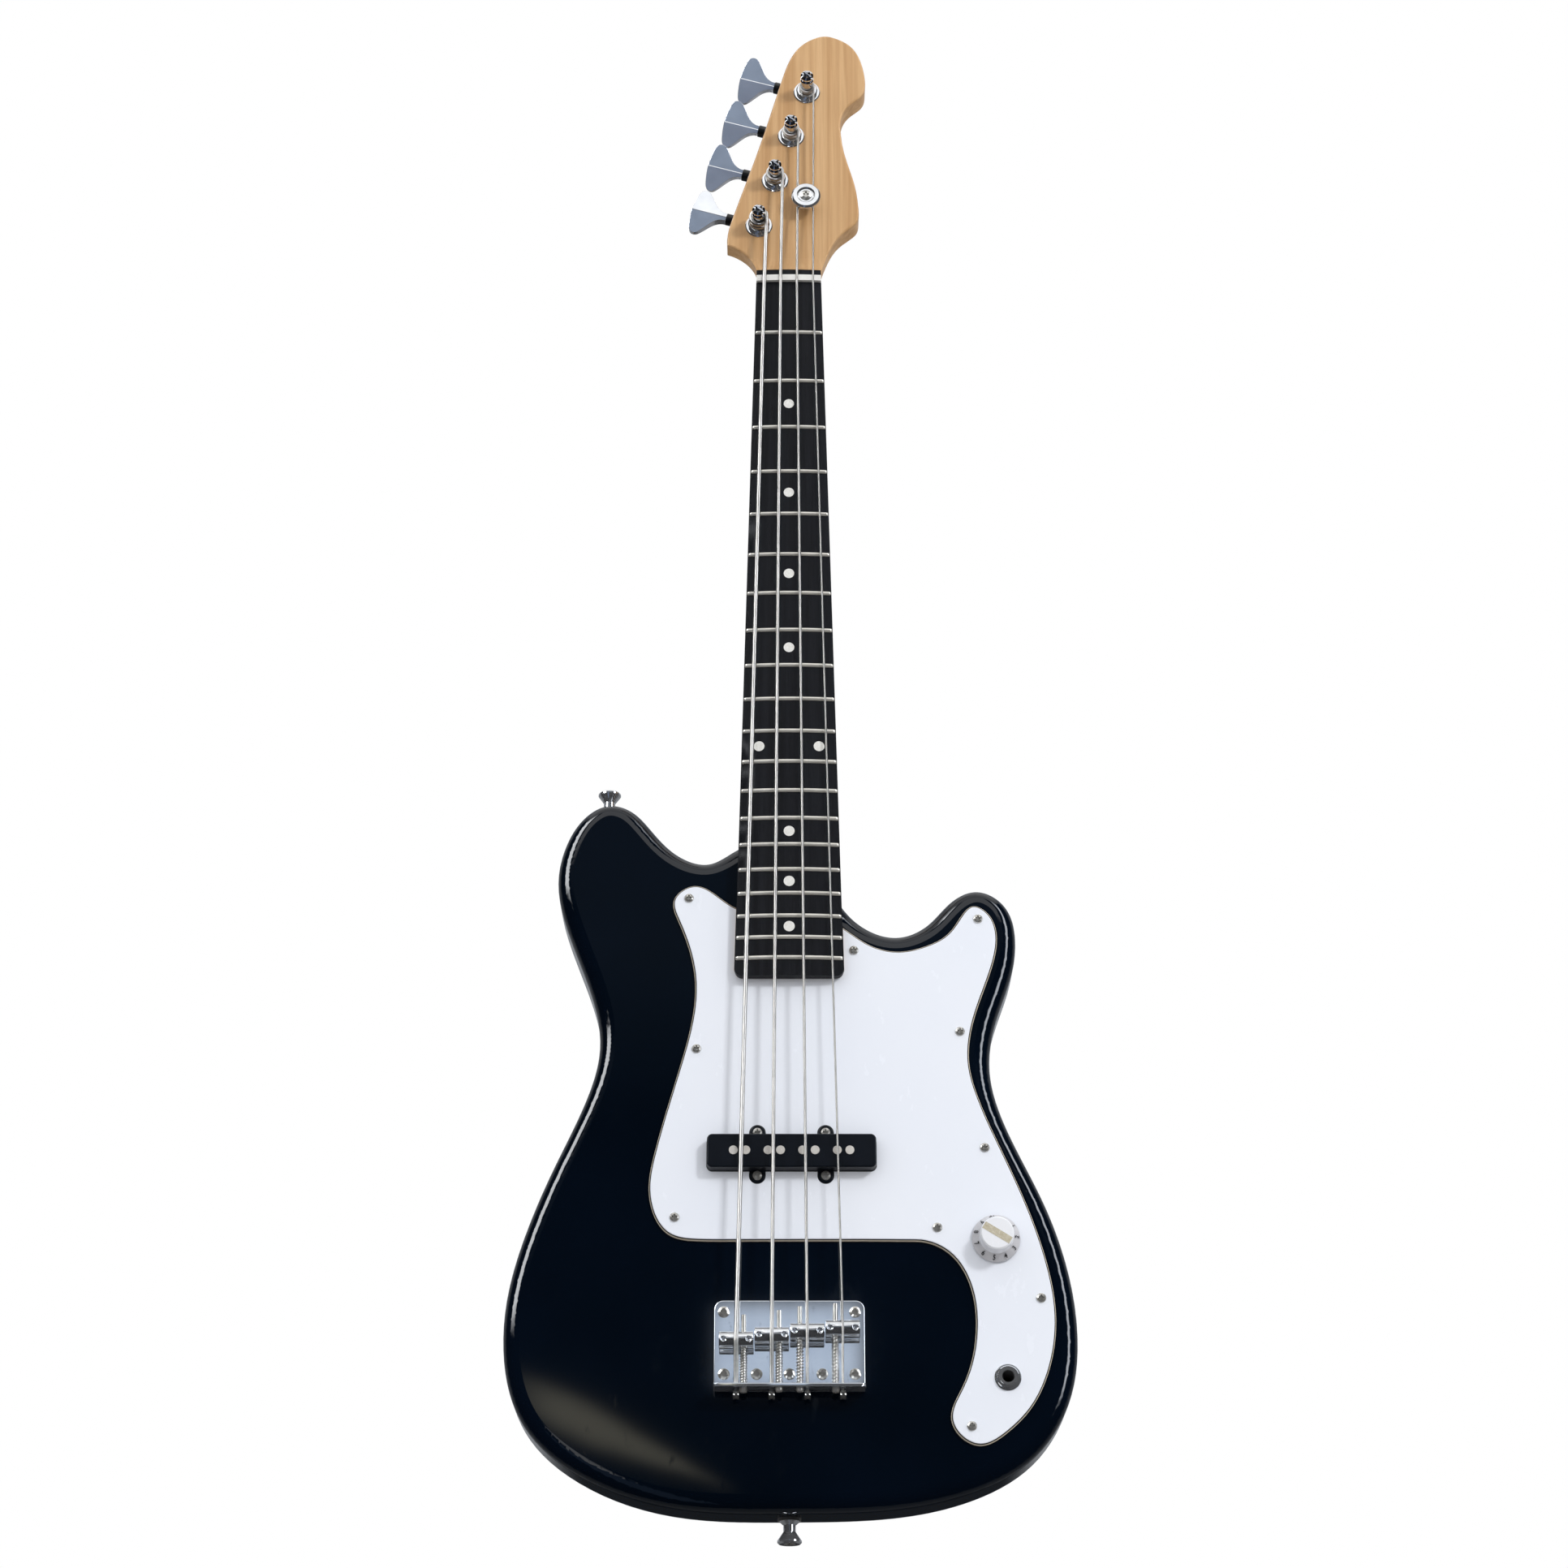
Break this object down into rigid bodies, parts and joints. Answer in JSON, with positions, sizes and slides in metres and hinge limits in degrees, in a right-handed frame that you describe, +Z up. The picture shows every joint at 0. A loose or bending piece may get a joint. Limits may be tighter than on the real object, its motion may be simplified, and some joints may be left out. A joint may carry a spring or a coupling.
{
  "type": "electric bass guitar",
  "caption": "Short-scale electric bass guitar: solid two-horned body, bolt-on neck with frets, geared tuners, adjustable bridge saddles, pickup under a white guard and a volume knob.",
  "frame": {"origin": "on the centre line at the nut, where the scale starts, on the plane between neck and fingerboard; a hanger's yoke holds the instrument here, around the neck under the headstock", "axes": "+Z up along the neck, +X to the right seen from the front, +Y towards the back of the body"},
  "size_m": [0.3072, 0.0624, 0.9561],
  "materials": {
    "body_lacquer": "gloss lacquer",
    "maple": "satin",
    "fingerboard_wood": "satin",
    "fret_metal": "polished",
    "marker_plastic": "polished",
    "nut_plastic": "satin",
    "guard_plastic": "gloss",
    "pickup_plastic": "satin",
    "black_plastic": "satin",
    "chrome": "polished",
    "bridge_chrome": "polished",
    "saddle_chrome": "polished",
    "post_chrome": "polished",
    "key_chrome": "polished",
    "screw_metal": "polished",
    "steel": "plain",
    "brass": "plain",
    "copper": "enamelled wire",
    "foam": "matte",
    "felt": "felt",
    "knob_plastic": "gloss",
    "knob_strip": "satin",
    "lead_rubber": "matte",
    "string_metal": "wound"
  },
  "bodies": {
    "instrument": {"body": "body_lacquer", "neck": "maple", "fingerboard": "fingerboard_wood", "frets": "fret_metal", "fret_markers": "marker_plastic", "nut": "nut_plastic", "truss_rod": "steel", "truss_rod_nut": "brass", "neck_plate": "chrome", "neck_screws": "screw_metal", "pickguard": "guard_plastic", "pickguard_screws": "screw_metal", "pickup_cover": "pickup_plastic", "pickup_bobbin": "black_plastic", "pickup_coil": "copper", "pickup_pole_pieces": "steel", "pickup_foam": "foam", "pickup_screws": "screw_metal", "volume_pot": "steel", "volume_pot_nut": "chrome", "jack_socket": "chrome", "jack_nut": "chrome", "jack_contact": "steel", "leads": "lead_rubber", "bridge_plate": "bridge_chrome", "bridge_screws": "screw_metal", "saddle_springs": "steel", "string_retainer": "chrome", "string_retainer_screw": "screw_metal", "tuner_bushings": "chrome", "tuner_plates": "chrome", "tuner_screws": "screw_metal", "tuner_collars": "black_plastic", "strap_buttons": "chrome", "strap_button_screws": "screw_metal", "strap_button_felts": "felt", "string_e": "string_metal", "string_a": "string_metal", "string_d": "string_metal", "string_g": "string_metal"},
    "key_e": {"tuner_key_e": "key_chrome"},
    "post_e": {"tuner_post_e": "post_chrome"},
    "key_a": {"tuner_key_a": "key_chrome"},
    "post_a": {"tuner_post_a": "post_chrome"},
    "key_d": {"tuner_key_d": "key_chrome"},
    "post_d": {"tuner_post_d": "post_chrome"},
    "key_g": {"tuner_key_g": "key_chrome"},
    "post_g": {"tuner_post_g": "post_chrome"},
    "saddle_e": {"saddle_e": "saddle_chrome"},
    "intonation_e": {"intonation_screw_e": "screw_metal"},
    "saddle_a": {"saddle_a": "saddle_chrome"},
    "intonation_a": {"intonation_screw_a": "screw_metal"},
    "saddle_d": {"saddle_d": "saddle_chrome"},
    "intonation_d": {"intonation_screw_d": "screw_metal"},
    "saddle_g": {"saddle_g": "saddle_chrome"},
    "intonation_g": {"intonation_screw_g": "screw_metal"},
    "knob": {"volume_knob": "knob_plastic", "volume_knob_strip": "knob_strip", "volume_pot_shaft": "brass"}
  },
  "joints": [
    {"name": "tuner_key_e_turn", "type": "hinge", "parent": "instrument", "child": "key_e", "pos_m": [-0.01543, 0.0248, 0.05974], "axis": [-0.9583, 0, 0.2857], "continuous": true, "deforming": ["string_e"]},
    {"name": "tuner_post_e_turn", "type": "hinge", "parent": "instrument", "child": "post_e", "pos_m": [-0.0186, 0.006, 0.0491], "axis": [0, 1, 0], "continuous": true, "deforming": ["string_e"]},
    {"name": "tuner_key_a_turn", "type": "hinge", "parent": "instrument", "child": "key_a", "pos_m": [-0.00534, 0.0248, 0.09357], "axis": [-0.9583, 0, 0.2857], "continuous": true, "deforming": ["string_a"]},
    {"name": "tuner_post_a_turn", "type": "hinge", "parent": "instrument", "child": "post_a", "pos_m": [-0.00852, 0.006, 0.08293], "axis": [0, 1, 0], "continuous": true, "deforming": ["string_a"]},
    {"name": "tuner_key_d_turn", "type": "hinge", "parent": "instrument", "child": "key_d", "pos_m": [0.00474, 0.0248, 0.1274], "axis": [-0.9583, 0, 0.2857], "continuous": true, "deforming": ["string_d"]},
    {"name": "tuner_post_d_turn", "type": "hinge", "parent": "instrument", "child": "post_d", "pos_m": [0.00157, 0.006, 0.11676], "axis": [0, 1, 0], "continuous": true, "deforming": ["string_d"]},
    {"name": "tuner_key_g_turn", "type": "hinge", "parent": "instrument", "child": "key_g", "pos_m": [0.01483, 0.0248, 0.16122], "axis": [-0.9583, 0, 0.2857], "continuous": true, "deforming": ["string_g"]},
    {"name": "tuner_post_g_turn", "type": "hinge", "parent": "instrument", "child": "post_g", "pos_m": [0.01165, 0.006, 0.15059], "axis": [0, 1, 0], "continuous": true, "deforming": ["string_g"]},
    {"name": "intonation_screw_e_turn", "type": "hinge", "parent": "instrument", "child": "intonation_e", "pos_m": [-0.0243, -0.00414, -0.6851], "axis": [0, 0, 1], "range_deg": [-2203.2, 2203.2], "deforming": ["saddle_springs", "string_e"]},
    {"name": "saddle_e_slide", "type": "slide", "parent": "instrument", "child": "saddle_e", "axis": [0, 0, 1], "range_m": [-0.0027, 0.0027], "deforming": ["saddle_springs", "string_e"]},
    {"name": "intonation_screw_a_turn", "type": "hinge", "parent": "instrument", "child": "intonation_a", "pos_m": [-0.0055, -0.00562, -0.6851], "axis": [0, 0, 1], "range_deg": [-2203.2, 2203.2], "deforming": ["saddle_springs", "string_a"]},
    {"name": "saddle_a_slide", "type": "slide", "parent": "instrument", "child": "saddle_a", "axis": [0, 0, 1], "range_m": [-0.0027, 0.0027], "deforming": ["saddle_springs", "string_a"]},
    {"name": "intonation_screw_d_turn", "type": "hinge", "parent": "instrument", "child": "intonation_d", "pos_m": [0.0055, -0.00562, -0.6851], "axis": [0, 0, 1], "range_deg": [-2203.2, 2203.2], "deforming": ["saddle_springs", "string_d"]},
    {"name": "saddle_d_slide", "type": "slide", "parent": "instrument", "child": "saddle_d", "axis": [0, 0, 1], "range_m": [-0.0027, 0.0027], "deforming": ["saddle_springs", "string_d"]},
    {"name": "intonation_screw_g_turn", "type": "hinge", "parent": "instrument", "child": "intonation_g", "pos_m": [0.0243, -0.00414, -0.6851], "axis": [0, 0, 1], "range_deg": [-2203.2, 2203.2], "deforming": ["saddle_springs", "string_g"]},
    {"name": "saddle_g_slide", "type": "slide", "parent": "instrument", "child": "saddle_g", "axis": [0, 0, 1], "range_m": [-0.0027, 0.0027], "deforming": ["saddle_springs", "string_g"]},
    {"name": "volume_knob_turn", "type": "hinge", "parent": "instrument", "child": "knob", "pos_m": [0.11113, 0.0015, -0.60293], "axis": [0, -1, 0], "range_deg": [-150, 150]}
  ],
  "couplings": [
    {"joint": "tuner_post_e_turn", "follows": "tuner_key_e_turn", "ratio": 0.05},
    {"joint": "tuner_post_a_turn", "follows": "tuner_key_a_turn", "ratio": 0.05},
    {"joint": "tuner_post_d_turn", "follows": "tuner_key_d_turn", "ratio": 0.05},
    {"joint": "tuner_post_g_turn", "follows": "tuner_key_g_turn", "ratio": 0.05},
    {"joint": "intonation_screw_e_turn", "follows": "saddle_e_slide", "rad_per_m": -13963},
    {"joint": "intonation_screw_a_turn", "follows": "saddle_a_slide", "rad_per_m": -13963},
    {"joint": "intonation_screw_d_turn", "follows": "saddle_d_slide", "rad_per_m": -13963},
    {"joint": "intonation_screw_g_turn", "follows": "saddle_g_slide", "rad_per_m": -13963}
  ]
}
